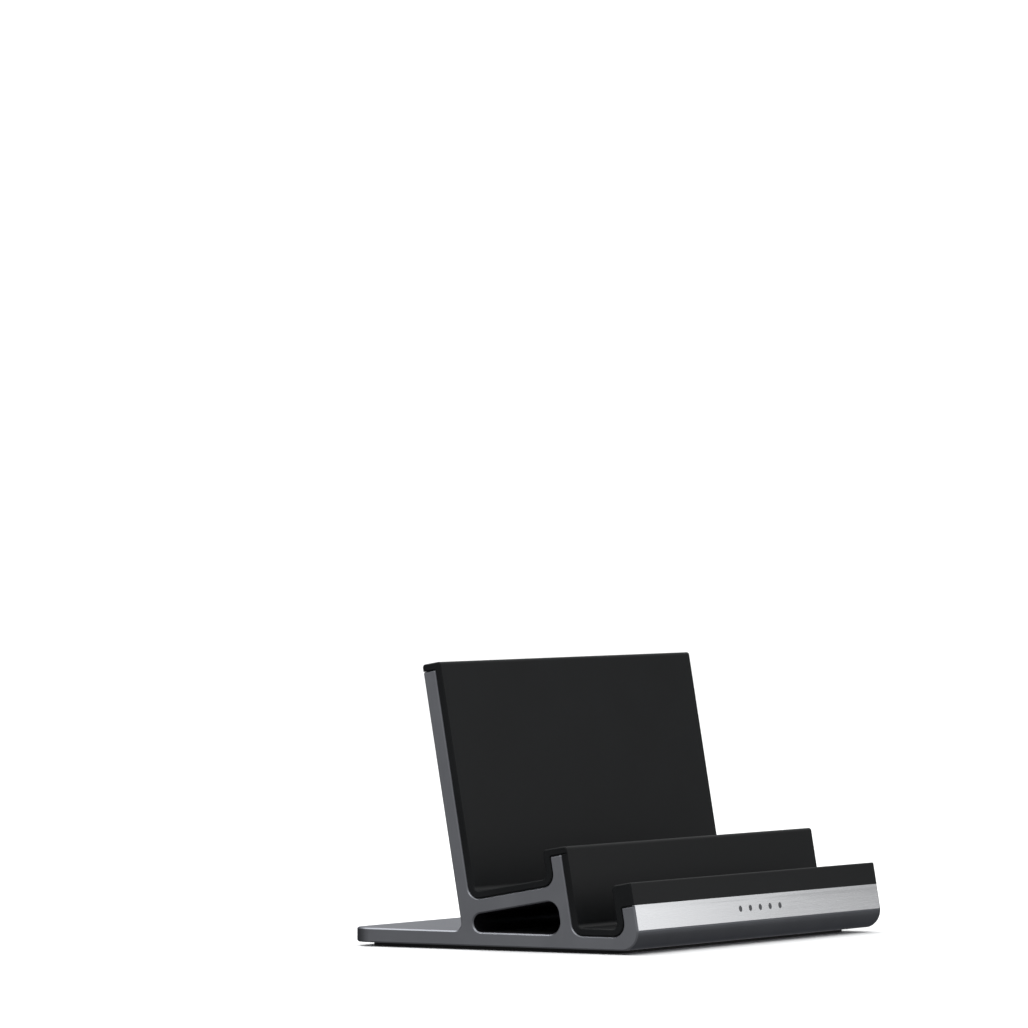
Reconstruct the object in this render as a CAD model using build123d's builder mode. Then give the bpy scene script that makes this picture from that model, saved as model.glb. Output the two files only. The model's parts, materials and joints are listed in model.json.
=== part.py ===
from build123d import *
import os
from math import cos, radians, sin

# Desktop stand with two leaning slots, +Z up, front towards -Y, origin at the bottom centre.
# Every section lies in the YZ plane and runs along X. All sizes are in millimetres.

# Overall sizes
LENGTH = 131.0
DEPTH = 91.0
BASE_LIFT = 1.15  # bottom of the aluminium above the table
PLATE_THICKNESS = 3.65
TONGUE_THICKNESS = 3.9  # behind the rear wall
LEAN = 10.0  # walls lean towards the rear, in degrees from vertical
CREASE_HEIGHT = 6.5  # the foremost edge, where the front face starts to lean back

# Leaning walls: thicknesses square to their faces, and heights above the crease along the lean
FRONT_WALL_THICKNESS = 4.0
MIDDLE_WALL_THICKNESS = 3.5
REAR_WALL_THICKNESS = 3.8
FRONT_SLOT_WIDTH = 16.0
REAR_SLOT_WIDTH = 26.9
WEB_THICKNESS = 3.95  # sloping floor of the rear slot
REAR_SLOT_FLOOR = 15.8
FRONT_WALL_TOP = 6.8
MIDDLE_WALL_TOP = 23.5
REAR_WALL_TOP = 78.1

# Silicone liners
LINER_THICKNESS = 1.9
FRONT_CAP_HEIGHT = 6.1  # silicone above the front wall's metal edge
FRONT_CAP_RADIUS = 1.2
THIN_CAP_RADIUS = 0.9
CAP_FRONT_RADIUS = 0.5
LINER_END_BEVEL = 0.25

# Bright strip let into a pocket in the front face
STRIP_THICKNESS = 0.8
STRIP_END_RIM = 0.6  # metal left at each end of its pocket
STRIP_BEVEL = 0.12

# Rubber pad in a shallow recess under the base
PAD_THICKNESS = 1.5
PAD_END_INSET = 3.3
PAD_REAR_INSET = 4.0
PAD_FRONT_INSET = 8.5
PAD_CORNER_RADIUS = 5.0
PAD_EDGE_RADIUS = 0.4

# Adhesive film behind the liners, the strip and the pad
FILM = 0.1
FILM_END_INSET = 1.0  # the liners' films stop short of both ends

# Edges and corners of the aluminium
END_BEVEL = 0.35
WALL_EDGE_RADIUS = 0.5
FRONT_BOTTOM_RADIUS = 5.0
TONGUE_CORNER_RADIUS = 6.5
WALL_FOOT_RADIUS = 2.0
SLOT_RADIUS = 3.4
HOLLOW_REAR_RADIUS = 2.5
HOLLOW_FRONT_RADIUS = 3.4

# Distances across the walls, from the front face towards the rear
FRONT_SLOT_FRONT = FRONT_WALL_THICKNESS
FRONT_SLOT_REAR = FRONT_SLOT_FRONT + FRONT_SLOT_WIDTH
REAR_SLOT_FRONT = FRONT_SLOT_REAR + MIDDLE_WALL_THICKNESS
REAR_SLOT_REAR = REAR_SLOT_FRONT + REAR_SLOT_WIDTH
REAR_FACE = REAR_SLOT_REAR + REAR_WALL_THICKNESS
STRIP_SEAT = STRIP_THICKNESS + FILM

PLATE_TOP = BASE_LIFT + PLATE_THICKNESS
TONGUE_TOP = BASE_LIFT + TONGUE_THICKNESS
HOLLOW_TOP = REAR_SLOT_FLOOR - WEB_THICKNESS
PAD_SEAT = PAD_THICKNESS + FILM

# Liners stand off the metal by their film, and have inner faces one thickness further
INSET = FILM + LINER_THICKNESS
SEAT_RADIUS = SLOT_RADIUS - FILM
INNER_RADIUS = SLOT_RADIUS - INSET
OVER_EDGE_RADIUS = WALL_EDGE_RADIUS + FILM
FRONT_SEAT_FRONT = FRONT_SLOT_FRONT + FILM
FRONT_SEAT_REAR = FRONT_SLOT_REAR - FILM
REAR_SEAT_FRONT = REAR_SLOT_FRONT + FILM
REAR_SEAT_REAR = REAR_SLOT_REAR - FILM
FRONT_SEAT_FLOOR = PLATE_TOP + FILM
REAR_SEAT_FLOOR = REAR_SLOT_FLOOR + FILM
FRONT_CAP_SEAT = FRONT_WALL_TOP + FILM
MIDDLE_CAP_SEAT = MIDDLE_WALL_TOP + FILM
REAR_CAP_SEAT = REAR_WALL_TOP + FILM
FRONT_CAP_TOP = FRONT_CAP_SEAT + FRONT_CAP_HEIGHT

# Lengths and sketch planes of what runs along X, and the pad's plan
STRIP_LENGTH = LENGTH - 2 * STRIP_END_RIM
FILM_LENGTH = LENGTH - 2 * FILM_END_INSET
SECTION = Plane.YZ.offset(-LENGTH / 2)
STRIP_SECTION = Plane.YZ.offset(-STRIP_LENGTH / 2)
FILM_SECTION = Plane.YZ.offset(-FILM_LENGTH / 2)
PAD_LENGTH = LENGTH - 2 * PAD_END_INSET
PAD_DEPTH = DEPTH - PAD_REAR_INSET - PAD_FRONT_INSET
PAD_CENTRE = (0, (PAD_FRONT_INSET - PAD_REAR_INSET) / 2)

COS = cos(radians(LEAN))
SIN = sin(radians(LEAN))


def leaning(across, up):
    """Section point (y, z) at a distance across the walls and up their lean, from the crease."""
    return (-DEPTH / 2 + across * COS + up * SIN, CREASE_HEIGHT + up * COS - across * SIN)


def at_height(across, z):
    """Section point on a leaning face where it reaches the height z."""
    return leaning(across, (z - CREASE_HEIGHT + across * SIN) / COS)


def rounded_outline(corners):
    """Closed line through (point, radius) corners, for use in a BuildLine block."""
    points = [point for point, radius in corners]
    radii = [radius for point, radius in corners]
    return FilletPolyline(points, radius=radii, close=True)


def end_edges(part):
    """Edges around both end faces of a piece that runs along X."""
    ends = part.faces().filter_by(Axis.X).sort_by(Axis.X)
    return ends[0].edges() + ends[-1].edges()


# ---- extruded_body: one aluminium extrusion with its base, three walls and a sloping web
body_corners = [
    ((DEPTH / 2, BASE_LIFT), 0),
    ((DEPTH / 2, TONGUE_TOP), 0),
    (at_height(REAR_FACE, TONGUE_TOP), WALL_FOOT_RADIUS),
    (leaning(REAR_FACE, REAR_WALL_TOP), WALL_EDGE_RADIUS),
    (leaning(REAR_SLOT_REAR, REAR_WALL_TOP), WALL_EDGE_RADIUS),
    (leaning(REAR_SLOT_REAR, REAR_SLOT_FLOOR), SLOT_RADIUS),
    (leaning(REAR_SLOT_FRONT, REAR_SLOT_FLOOR), SLOT_RADIUS),
    (leaning(REAR_SLOT_FRONT, MIDDLE_WALL_TOP), WALL_EDGE_RADIUS),
    (leaning(FRONT_SLOT_REAR, MIDDLE_WALL_TOP), WALL_EDGE_RADIUS),
    (at_height(FRONT_SLOT_REAR, PLATE_TOP), SLOT_RADIUS),
    (at_height(FRONT_SLOT_FRONT, PLATE_TOP), SLOT_RADIUS),
    (leaning(FRONT_SLOT_FRONT, FRONT_WALL_TOP), WALL_EDGE_RADIUS),
    (leaning(0, FRONT_WALL_TOP), 0),
    (leaning(0, 0), 0),
    ((-DEPTH / 2, BASE_LIFT), FRONT_BOTTOM_RADIUS),
]
hollow_corners = [
    (at_height(REAR_SLOT_REAR, PLATE_TOP), HOLLOW_REAR_RADIUS),
    (leaning(REAR_SLOT_REAR, HOLLOW_TOP), HOLLOW_REAR_RADIUS),
    (leaning(REAR_SLOT_FRONT, HOLLOW_TOP), HOLLOW_FRONT_RADIUS),
    (at_height(REAR_SLOT_FRONT, PLATE_TOP), HOLLOW_FRONT_RADIUS),
]
strip_pocket_corners = [
    (leaning(0, 0), 0),
    (leaning(STRIP_SEAT, 0), 0),
    (leaning(STRIP_SEAT, FRONT_WALL_TOP), 0),
    (leaning(0, FRONT_WALL_TOP), 0),
]
with BuildPart() as extruded_body:
    with BuildSketch(SECTION):
        with BuildLine():
            rounded_outline(body_corners)
        make_face()
        with BuildLine():
            rounded_outline(hollow_corners)
        make_face(mode=Mode.SUBTRACT)
    extrude(amount=LENGTH)
    fillet(extruded_body.edges().filter_by(Axis.Z).group_by(Axis.Y)[-1], TONGUE_CORNER_RADIUS)
    chamfer(end_edges(extruded_body).filter_by(Axis.Z, reverse=True), length=END_BEVEL)
    with BuildSketch(STRIP_SECTION):
        with BuildLine():
            rounded_outline(strip_pocket_corners)
        make_face()
    extrude(amount=STRIP_LENGTH, mode=Mode.SUBTRACT)
    with BuildSketch(Plane.XY):
        with Locations(PAD_CENTRE):
            RectangleRounded(PAD_LENGTH + 2 * FILM, PAD_DEPTH + 2 * FILM, PAD_CORNER_RADIUS)
    extrude(amount=PAD_SEAT, mode=Mode.SUBTRACT)
extruded_body.part.label = "extruded_body"

# ---- front_accent_strip: bright metal strip, flush with the front face
strip_corners = [
    (leaning(0, 0), 0),
    (leaning(STRIP_THICKNESS, 0), 0),
    (leaning(STRIP_THICKNESS, FRONT_CAP_SEAT), 0),
    (leaning(0, FRONT_CAP_SEAT), 0),
]
with BuildPart() as front_accent_strip:
    with BuildSketch(STRIP_SECTION):
        with BuildLine():
            rounded_outline(strip_corners)
        make_face()
    extrude(amount=STRIP_LENGTH)
    chamfer(front_accent_strip.faces().sort_by(Axis.Y)[0].edges(), length=STRIP_BEVEL)
front_accent_strip.part.label = "front_accent_strip"

# ---- accent_strip_adhesive: film between the strip and the floor of its pocket
strip_film_corners = [
    (leaning(STRIP_THICKNESS, 0), 0),
    (leaning(STRIP_SEAT, 0), 0),
    (leaning(STRIP_SEAT, FRONT_WALL_TOP), 0),
    (leaning(STRIP_THICKNESS, FRONT_WALL_TOP), 0),
]
with BuildPart() as accent_strip_adhesive:
    with BuildSketch(STRIP_SECTION):
        with BuildLine():
            rounded_outline(strip_film_corners)
        make_face()
    extrude(amount=STRIP_LENGTH)
accent_strip_adhesive.part.label = "accent_strip_adhesive"

# ---- front_slot_liner: silicone lip over the front wall, slot floor and middle wall's front
front_liner_corners = [
    (leaning(0, FRONT_CAP_SEAT), 0),
    (leaning(0, FRONT_CAP_TOP), CAP_FRONT_RADIUS),
    (leaning(FRONT_SLOT_FRONT + INSET, FRONT_CAP_TOP), FRONT_CAP_RADIUS),
    (at_height(FRONT_SLOT_FRONT + INSET, PLATE_TOP + INSET), INNER_RADIUS),
    (at_height(FRONT_SLOT_REAR - INSET, PLATE_TOP + INSET), INNER_RADIUS),
    (leaning(FRONT_SLOT_REAR - INSET, MIDDLE_CAP_SEAT), 0),
    (leaning(FRONT_SEAT_REAR, MIDDLE_CAP_SEAT), 0),
    (at_height(FRONT_SEAT_REAR, FRONT_SEAT_FLOOR), SEAT_RADIUS),
    (at_height(FRONT_SEAT_FRONT, FRONT_SEAT_FLOOR), SEAT_RADIUS),
    (leaning(FRONT_SEAT_FRONT, FRONT_CAP_SEAT), OVER_EDGE_RADIUS),
]
with BuildPart() as front_slot_liner:
    with BuildSketch(SECTION):
        with BuildLine():
            rounded_outline(front_liner_corners)
        make_face()
    extrude(amount=LENGTH)
    chamfer(end_edges(front_slot_liner), length=LINER_END_BEVEL)
front_slot_liner.part.label = "front_slot_liner"

# ---- front_liner_adhesive: film between the front liner and the metal
front_film_corners = [
    (leaning(STRIP_THICKNESS, FRONT_WALL_TOP), 0),
    (leaning(STRIP_THICKNESS, FRONT_CAP_SEAT), 0),
    (leaning(FRONT_SEAT_FRONT, FRONT_CAP_SEAT), OVER_EDGE_RADIUS),
    (at_height(FRONT_SEAT_FRONT, FRONT_SEAT_FLOOR), SEAT_RADIUS),
    (at_height(FRONT_SEAT_REAR, FRONT_SEAT_FLOOR), SEAT_RADIUS),
    (leaning(FRONT_SEAT_REAR, MIDDLE_WALL_TOP - WALL_EDGE_RADIUS), 0),
    (leaning(FRONT_SLOT_REAR, MIDDLE_WALL_TOP - WALL_EDGE_RADIUS), 0),
    (at_height(FRONT_SLOT_REAR, PLATE_TOP), SLOT_RADIUS),
    (at_height(FRONT_SLOT_FRONT, PLATE_TOP), SLOT_RADIUS),
    (leaning(FRONT_SLOT_FRONT, FRONT_WALL_TOP), WALL_EDGE_RADIUS),
]
with BuildPart() as front_liner_adhesive:
    with BuildSketch(FILM_SECTION):
        with BuildLine():
            rounded_outline(front_film_corners)
        make_face()
    extrude(amount=FILM_LENGTH)
front_liner_adhesive.part.label = "front_liner_adhesive"

# ---- rear_slot_liner: silicone over the middle wall, the sloping floor and the rear wall
rear_liner_corners = [
    (leaning(FRONT_SLOT_REAR - INSET, MIDDLE_CAP_SEAT), 0),
    (leaning(FRONT_SLOT_REAR - INSET, MIDDLE_WALL_TOP + INSET), THIN_CAP_RADIUS),
    (leaning(REAR_SLOT_FRONT + INSET, MIDDLE_WALL_TOP + INSET), THIN_CAP_RADIUS),
    (leaning(REAR_SLOT_FRONT + INSET, REAR_SLOT_FLOOR + INSET), INNER_RADIUS),
    (leaning(REAR_SLOT_REAR - INSET, REAR_SLOT_FLOOR + INSET), INNER_RADIUS),
    (leaning(REAR_SLOT_REAR - INSET, REAR_WALL_TOP + INSET), THIN_CAP_RADIUS),
    (leaning(REAR_FACE, REAR_WALL_TOP + INSET), THIN_CAP_RADIUS),
    (leaning(REAR_FACE, REAR_CAP_SEAT), 0),
    (leaning(REAR_SEAT_REAR, REAR_CAP_SEAT), OVER_EDGE_RADIUS),
    (leaning(REAR_SEAT_REAR, REAR_SEAT_FLOOR), SEAT_RADIUS),
    (leaning(REAR_SEAT_FRONT, REAR_SEAT_FLOOR), SEAT_RADIUS),
    (leaning(REAR_SEAT_FRONT, MIDDLE_CAP_SEAT), OVER_EDGE_RADIUS),
]
with BuildPart() as rear_slot_liner:
    with BuildSketch(SECTION):
        with BuildLine():
            rounded_outline(rear_liner_corners)
        make_face()
    extrude(amount=LENGTH)
    chamfer(end_edges(rear_slot_liner), length=LINER_END_BEVEL)
rear_slot_liner.part.label = "rear_slot_liner"

# ---- rear_liner_adhesive: film between the rear liner and the metal
rear_film_corners = [
    (leaning(FRONT_SLOT_REAR + WALL_EDGE_RADIUS, MIDDLE_WALL_TOP), 0),
    (leaning(FRONT_SLOT_REAR + WALL_EDGE_RADIUS, MIDDLE_CAP_SEAT), 0),
    (leaning(REAR_SEAT_FRONT, MIDDLE_CAP_SEAT), OVER_EDGE_RADIUS),
    (leaning(REAR_SEAT_FRONT, REAR_SEAT_FLOOR), SEAT_RADIUS),
    (leaning(REAR_SEAT_REAR, REAR_SEAT_FLOOR), SEAT_RADIUS),
    (leaning(REAR_SEAT_REAR, REAR_CAP_SEAT), OVER_EDGE_RADIUS),
    (leaning(REAR_FACE - WALL_EDGE_RADIUS, REAR_CAP_SEAT), 0),
    (leaning(REAR_FACE - WALL_EDGE_RADIUS, REAR_WALL_TOP), 0),
    (leaning(REAR_SLOT_REAR, REAR_WALL_TOP), WALL_EDGE_RADIUS),
    (leaning(REAR_SLOT_REAR, REAR_SLOT_FLOOR), SLOT_RADIUS),
    (leaning(REAR_SLOT_FRONT, REAR_SLOT_FLOOR), SLOT_RADIUS),
    (leaning(REAR_SLOT_FRONT, MIDDLE_WALL_TOP), WALL_EDGE_RADIUS),
]
with BuildPart() as rear_liner_adhesive:
    with BuildSketch(FILM_SECTION):
        with BuildLine():
            rounded_outline(rear_film_corners)
        make_face()
    extrude(amount=FILM_LENGTH)
rear_liner_adhesive.part.label = "rear_liner_adhesive"

# ---- base_pad: rubber sheet under the base, standing proud of the metal
with BuildPart() as base_pad:
    with BuildSketch(Plane.XY):
        with Locations(PAD_CENTRE):
            RectangleRounded(PAD_LENGTH, PAD_DEPTH, PAD_CORNER_RADIUS)
    extrude(amount=PAD_THICKNESS)
    fillet(base_pad.faces().sort_by(Axis.Z)[0].edges(), radius=PAD_EDGE_RADIUS)
base_pad.part.label = "base_pad"

# ---- base_pad_adhesive: film between the pad and the roof of its recess
with BuildPart() as base_pad_adhesive:
    with BuildSketch(Plane.XY.offset(PAD_THICKNESS)):
        with Locations(PAD_CENTRE):
            RectangleRounded(PAD_LENGTH, PAD_DEPTH, PAD_CORNER_RADIUS)
    extrude(amount=FILM)
base_pad_adhesive.part.label = "base_pad_adhesive"

pieces = [
    extruded_body,
    front_accent_strip,
    accent_strip_adhesive,
    front_slot_liner,
    front_liner_adhesive,
    rear_slot_liner,
    rear_liner_adhesive,
    base_pad,
    base_pad_adhesive,
]
os.makedirs("parts", exist_ok=True)
for piece in pieces:
    export_step(piece.part, f"parts/{piece.part.label}.step")
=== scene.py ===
import json
import math

import bmesh
import bpy
from mathutils import Euler, Matrix, Vector


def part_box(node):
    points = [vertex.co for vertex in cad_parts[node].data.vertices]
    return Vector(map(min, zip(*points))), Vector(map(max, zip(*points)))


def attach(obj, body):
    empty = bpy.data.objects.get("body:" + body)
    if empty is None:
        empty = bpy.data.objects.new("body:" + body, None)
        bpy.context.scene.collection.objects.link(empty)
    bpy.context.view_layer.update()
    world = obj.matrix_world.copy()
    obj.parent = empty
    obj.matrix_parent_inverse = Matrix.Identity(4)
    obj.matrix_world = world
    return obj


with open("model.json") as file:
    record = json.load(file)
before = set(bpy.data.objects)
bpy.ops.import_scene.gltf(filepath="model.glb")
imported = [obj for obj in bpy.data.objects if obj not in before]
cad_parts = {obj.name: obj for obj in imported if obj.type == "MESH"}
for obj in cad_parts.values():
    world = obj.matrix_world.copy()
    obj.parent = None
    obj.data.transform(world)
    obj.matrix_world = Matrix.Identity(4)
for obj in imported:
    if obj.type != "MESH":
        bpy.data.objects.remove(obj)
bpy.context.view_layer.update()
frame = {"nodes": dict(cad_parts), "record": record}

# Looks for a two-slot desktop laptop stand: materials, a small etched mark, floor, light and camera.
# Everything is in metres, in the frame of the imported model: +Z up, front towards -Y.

LEAN = math.radians(10)  # the front face leans back by this much

# Etched mark: a row of dots centred on the bright strip
STRIP_HEIGHT = 0.0069  # along the lean
DOT_COUNT = 5
DOT_PITCH = 0.0053
DOT_RADIUS = 0.0009
DOT_RIM = 0.00006
DOT_SUNK = 0.00005
DOT_PROUD = 0.00003
DOT_SIDES = 40

# Camera, from the object's own origin
CAMERA_PLACE = Vector((-1.9712, -1.1881, 0.1308))
CAMERA_AZIMUTH = math.radians(-58.217)
CAMERA_ELEVATION = math.radians(0.366)
CAMERA_ROLL = math.radians(-0.08)
CAMERA_LENS = 295.07
CAMERA_SENSOR = 36.0
CAMERA_CLIP = (0.05, 200)  # nearest and farthest

# Studio
FLOOR_HALF = 30.0
BACKDROP_DIRECTION = (0.850, 0.527, 0)
LEFT_GLOW = 0.78  # the dome, from its left side
RIGHT_GLOW = 0.44  # to its right side
BACKDROP_GLOW = 0.80  # added towards the backdrop
TOP_GLOW = 1.10  # added overhead
REAR_SHARE = 0.42  # share of the side glow straight behind
LOW_SHARE = 0.55  # share of the glow under the horizon, where only glossy surfaces see it

# Bands over which the dome's parts fade in, along X, Y or Z, or towards the backdrop
SIDES_BAND = (-0.8, 0.4)
REAR_BAND = (0.60, 0.90)
BACKDROP_BAND = (0.93, 0.99)
HORIZON_BAND = (-0.12, -0.01)
TOP_BAND = (0.25, 0.80)

# Soft lights: name, place, aim, size and power in watts
LIGHTS = (
    ("key", (-0.9, -0.7, 1.4), (0, 0, 0.02), (0.9, 0.9), 3),
    ("rear_top", (0, 0.53, 0.88), (0, 0, 0.03), (0.6, 0.6), 3.5),
    ("strip_glow", (0.180, -0.300, 0.109), (-0.06, -0.045, 0.01), (0.24, 0.30), 0.20),
)

# Noise values that the colour ramps and value ranges stretch over
RAMP_STOPS = (0.3, 0.7)
NOISE_BAND = (0.25, 0.75)


# ---------------------------------------------------------------- node helpers
class Tree:
    """A node tree, with short ways to add and join nodes."""

    def __init__(self, tree):
        self.nodes = tree.nodes
        self.links = tree.links

    def add(self, kind, **values):
        """A new node; values name its inputs, or its properties where no input has that name."""
        node = self.nodes.new(kind)
        for name, value in values.items():
            if name in node.inputs:
                node.inputs[name].default_value = value
            else:
                setattr(node, name, value)
        return node

    def join(self, source, target):
        self.links.new(source, target)

    def spread(self, source, low, high, band=NOISE_BAND, shape="LINEAR"):
        """Maps a band of a value onto low..high, and holds it beyond."""
        node = self.add("ShaderNodeMapRange", interpolation_type=shape)
        for name, value in zip(("From Min", "From Max", "To Min", "To Max"), (*band, low, high)):
            node.inputs[name].default_value = value
        self.join(source, node.inputs["Value"])
        return node.outputs["Result"]

    def combine(self, operation, first, second):
        """Two values added, multiplied and so on."""
        node = self.add("ShaderNodeMath", operation=operation)
        self.join(first, node.inputs[0])
        self.join(second, node.inputs[1])
        return node.outputs[0]


class Shader(Tree):
    """A material's node tree around its surface shader."""

    def __init__(self, name):
        self.material = bpy.data.materials.new(name)
        self.material.use_nodes = True
        super().__init__(self.material.node_tree)
        self.surface = self.nodes["Principled BSDF"]

    def finish(self, **values):
        """Sets constant values on the surface shader's own sockets and returns the material."""
        for name, value in values.items():
            self.surface.inputs[name.replace("_", " ")].default_value = value
        return self.material

    def drive(self, name, source):
        self.join(source, self.surface.inputs[name])

    def place(self, scale=(1, 1, 1)):
        """Object coordinates in metres, scaled."""
        coordinates = self.add("ShaderNodeTexCoord")
        mapping = self.add("ShaderNodeMapping", Scale=scale)
        self.join(coordinates.outputs["Object"], mapping.inputs["Vector"])
        return mapping.outputs["Vector"]

    def noise(self, place, scale, detail=2.0, roughness=0.5):
        node = self.add("ShaderNodeTexNoise", Scale=scale, Detail=detail, Roughness=roughness)
        self.join(place, node.inputs["Vector"])
        return node.outputs["Fac"]

    def ramp(self, source, low, high):
        """A colour ramp between two colours."""
        node = self.add("ShaderNodeValToRGB")
        for stop, position, colour in zip(node.color_ramp.elements, RAMP_STOPS, (low, high)):
            stop.position = position
            stop.color = (*colour, 1)
        self.join(source, node.inputs["Fac"])
        return node.outputs["Color"]

    def bump(self, height, distance, strength, under=None):
        node = self.add("ShaderNodeBump", Strength=strength, Distance=distance)
        self.join(height, node.inputs["Height"])
        if under is not None:
            self.join(under, node.inputs["Normal"])
        return node.outputs["Normal"]


# ---------------------------------------------------------------- materials
def anodised_aluminium():
    """Space-grey anodised aluminium: fine blasted grain over very faint lines along the extrusion."""
    shader = Shader("grey_anodised_aluminium")
    place = shader.place()
    tone = shader.noise(place, scale=90, detail=4)
    shader.drive("Base Color", shader.ramp(tone, (0.166, 0.171, 0.186), (0.188, 0.194, 0.210)))
    grain = shader.noise(place, scale=5200)
    shader.drive("Roughness", shader.spread(grain, low=0.30, high=0.40))
    drawn = shader.noise(shader.place(scale=(1, 70, 70)), scale=60, detail=3)
    lines = shader.bump(drawn, distance=0.00001, strength=0.15)
    shader.drive("Normal", shader.bump(grain, distance=0.00002, strength=0.30, under=lines))
    return shader.finish(Metallic=1.0, Specular_Tint=(0.42, 0.43, 0.46, 1))


def bright_strip():
    """Bright metal brushed along its length."""
    shader = Shader("bright_brushed_strip")
    brushing = shader.noise(shader.place(scale=(0.3, 60, 60)), scale=260, detail=3)
    shader.drive("Base Color", shader.ramp(brushing, (0.745, 0.755, 0.775), (0.775, 0.785, 0.805)))
    shader.drive("Roughness", shader.spread(brushing, low=0.22, high=0.30))
    shader.drive("Normal", shader.bump(brushing, distance=0.00001, strength=0.08))
    return shader.finish(Metallic=1.0, Anisotropic=0.4)


def silicone():
    """Matte black moulded silicone with a faint bloom."""
    shader = Shader("black_silicone")
    place = shader.place()
    bloom = shader.noise(place, scale=55, detail=5, roughness=0.6)
    shader.drive("Base Color", shader.ramp(bloom, (0.0026, 0.0031, 0.0036), (0.0046, 0.0053, 0.0060)))
    shader.drive("Roughness", shader.spread(bloom, low=0.49, high=0.55))
    grain = shader.noise(place, scale=3600, detail=3)
    shader.drive("Normal", shader.bump(grain, distance=0.00003, strength=0.35))
    return shader.finish(Specular_IOR_Level=0.12)


def base_rubber():
    """Matte black rubber with a moulded leathery grain."""
    shader = Shader("base_rubber")
    place = shader.place()
    tone = shader.noise(place, scale=70, detail=4)
    shader.drive("Base Color", shader.ramp(tone, (0.006, 0.006, 0.0065), (0.011, 0.011, 0.012)))
    shader.drive("Roughness", shader.spread(tone, low=0.62, high=0.74))
    cells = shader.add("ShaderNodeTexVoronoi", Scale=1100)
    shader.join(place, cells.inputs["Vector"])
    shader.drive("Normal", shader.bump(cells.outputs["Distance"], distance=0.00008, strength=0.5))
    return shader.finish(Specular_IOR_Level=0.2)


def adhesive():
    """Dark double-sided film, seen only as a hairline."""
    shader = Shader("adhesive_film")
    fibres = shader.noise(shader.place(scale=(1, 8, 8)), scale=900)
    shader.drive("Base Color", shader.ramp(fibres, (0.012, 0.012, 0.013), (0.022, 0.022, 0.024)))
    shader.drive("Roughness", shader.spread(fibres, low=0.55, high=0.7))
    return shader.finish()


def etched_metal():
    """Dark etched spots, slightly uneven like an acid or laser mark."""
    shader = Shader("etched_mark")
    pits = shader.noise(shader.place(), scale=6500, detail=4)
    shader.drive("Base Color", shader.ramp(pits, (0.055, 0.057, 0.062), (0.105, 0.108, 0.115)))
    shader.drive("Roughness", shader.spread(pits, low=0.55, high=0.75))
    shader.drive("Normal", shader.bump(pits, distance=0.00002, strength=0.6))
    return shader.finish(Metallic=0.6)


def dress_nodes():
    """Gives every CAD node the finish of its material slot."""
    finishes = {
        "grey_anodised_aluminium": anodised_aluminium(),
        "bright_brushed_strip": bright_strip(),
        "black_silicone": silicone(),
        "base_rubber": base_rubber(),
        "adhesive_film": adhesive(),
    }
    for subpart in frame["record"]["subparts"]:
        node = frame["nodes"][subpart["node"]]
        node.data.materials.clear()
        node.data.materials.append(finishes[subpart["material_slot"]])


# ---------------------------------------------------------------- etched mark
def add_dot(mesh, centre):
    """A thin disc with a softened rim, in a plane whose outward side is +Z."""
    profile = (
        (DOT_RADIUS, -DOT_SUNK),
        (DOT_RADIUS, 0),
        (DOT_RADIUS - DOT_RIM, DOT_PROUD),
    )
    rings = []
    for radius, height in profile:
        ring = []
        for step in range(DOT_SIDES):
            angle = math.tau * step / DOT_SIDES
            spot = Vector((radius * math.cos(angle), radius * math.sin(angle), height))
            ring.append(mesh.verts.new(centre + spot))
        rings.append(ring)
    for lower, upper in zip(rings, rings[1:]):
        for step in range(DOT_SIDES):
            after = (step + 1) % DOT_SIDES
            mesh.faces.new((lower[step], lower[after], upper[after], upper[step]))
    mesh.faces.new(reversed(rings[0]))
    mesh.faces.new(rings[-1])


def make_mark():
    """A row of plain etched dots, centred on the strip and lying in its leaning face."""
    mesh = bmesh.new()
    for index in range(DOT_COUNT):
        across = (index - (DOT_COUNT - 1) / 2) * DOT_PITCH
        add_dot(mesh, Vector((across, 0, 0)))
    data = bpy.data.meshes.new("etched_mark")
    mesh.to_mesh(data)
    mesh.free()

    low, high = (Vector(corner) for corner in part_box("front_accent_strip"))
    half = STRIP_HEIGHT / 2
    centre = Vector((0, low.y + half * math.sin(LEAN), high.z - half * math.cos(LEAN)))
    turn = Matrix.Rotation(math.pi / 2 - LEAN, 4, "X")
    data.transform(Matrix.Translation(centre) @ turn)
    data.materials.append(etched_metal())

    mark = bpy.data.objects.new("etched_mark", data)
    bpy.context.scene.collection.objects.link(mark)
    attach(mark, "root")


# ---------------------------------------------------------------- stage
def floor_material():
    """Pale matte paper."""
    shader = Shader("pale_floor")
    tone = shader.noise(shader.place(), scale=3, detail=3)
    shader.drive("Base Color", shader.ramp(tone, (0.87, 0.875, 0.88), (0.89, 0.895, 0.90)))
    return shader.finish(Roughness=0.7)


def make_floor():
    """A wide floor. Glossy surfaces don't mirror it, so the metal keeps its dark undersides."""
    mesh = bpy.data.meshes.new("floor")
    half = FLOOR_HALF
    corners = [(-half, -half, 0), (half, -half, 0), (half, half, 0), (-half, half, 0)]
    mesh.from_pydata(corners, [], [(0, 1, 2, 3)])
    mesh.materials.append(floor_material())
    floor = bpy.data.objects.new("floor", mesh)
    floor.visible_glossy = False
    bpy.context.scene.collection.objects.link(floor)


def area_light(name, place, aim, size, power):
    """A soft oblong light at place, facing aim, that no camera sees."""
    light = bpy.data.lights.new(name, "AREA")
    light.shape = "RECTANGLE"
    light.size, light.size_y = size
    light.energy = power
    lamp = bpy.data.objects.new(name, light)
    lamp.location = place
    lamp.rotation_euler = (Vector(aim) - Vector(place)).to_track_quat("-Z", "Y").to_euler()
    lamp.visible_camera = False
    bpy.context.scene.collection.objects.link(lamp)


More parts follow.
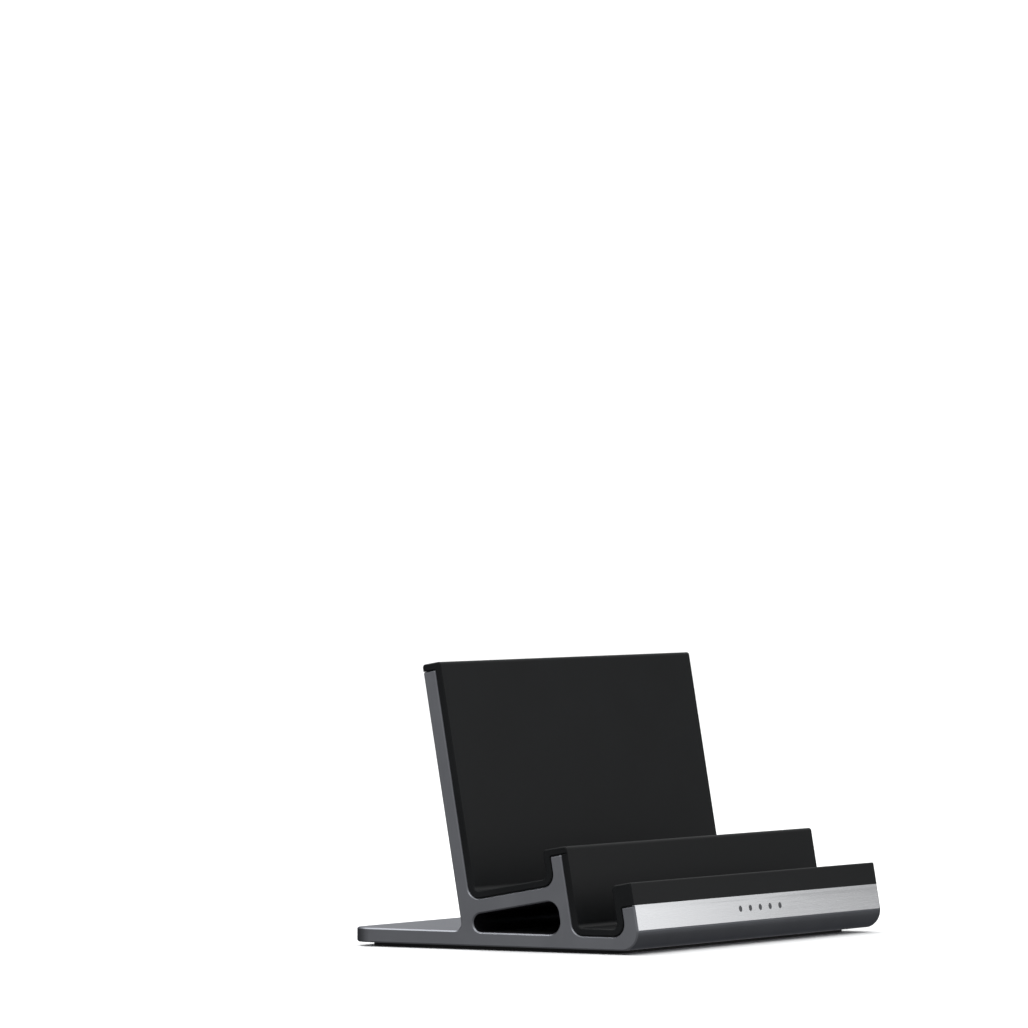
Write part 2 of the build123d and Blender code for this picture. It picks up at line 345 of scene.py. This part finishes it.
def make_dome():
    """A dome, bright overhead and towards the backdrop, dimmer at the sides and under the horizon."""
    world = bpy.data.worlds.new("studio")
    bpy.context.scene.world = world
    world.use_nodes = True
    tree = Tree(world.node_tree)
    direction = tree.add("ShaderNodeTexCoord").outputs["Generated"]
    towards = tree.add("ShaderNodeVectorMath", operation="DOT_PRODUCT")
    towards.inputs[1].default_value = BACKDROP_DIRECTION
    tree.join(direction, towards.inputs[0])
    parts = tree.add("ShaderNodeSeparateXYZ")
    tree.join(direction, parts.inputs[0])
    sides = tree.spread(parts.outputs["X"], LEFT_GLOW, RIGHT_GLOW, SIDES_BAND)
    rear = tree.spread(parts.outputs["Y"], 1, REAR_SHARE, REAR_BAND)
    sides = tree.combine("MULTIPLY", sides, rear)
    aimed = towards.outputs["Value"]
    backdrop = tree.spread(aimed, 0, BACKDROP_GLOW, BACKDROP_BAND, "SMOOTHSTEP")
    share = tree.spread(parts.outputs["Z"], LOW_SHARE, 1, HORIZON_BAND, "SMOOTHSTEP")
    top = tree.spread(parts.outputs["Z"], 0, TOP_GLOW, TOP_BAND, "SMOOTHSTEP")
    around = tree.combine("MULTIPLY", share, tree.combine("ADD", sides, backdrop))
    glow = tree.combine("ADD", around, top)
    background = tree.nodes["Background"]
    background.inputs["Color"].default_value = (1, 1, 1, 1)
    tree.join(glow, background.inputs["Strength"])


def make_light():
    make_dome()
    for light in LIGHTS:
        area_light(*light)


def make_camera():
    data = bpy.data.cameras.new("camera")
    data.sensor_width = CAMERA_SENSOR
    data.lens = CAMERA_LENS
    data.clip_start, data.clip_end = CAMERA_CLIP
    camera = bpy.data.objects.new("camera", data)
    camera.location = CAMERA_PLACE
    level = Euler((math.pi / 2 - CAMERA_ELEVATION, 0, CAMERA_AZIMUTH)).to_matrix()
    camera.rotation_euler = (level @ Matrix.Rotation(CAMERA_ROLL, 3, "Z")).to_euler()
    bpy.context.scene.collection.objects.link(camera)
    bpy.context.scene.camera = camera


dress_nodes()
make_mark()
make_floor()
make_light()
make_camera()
bpy.context.scene.view_settings.view_transform = "Standard"
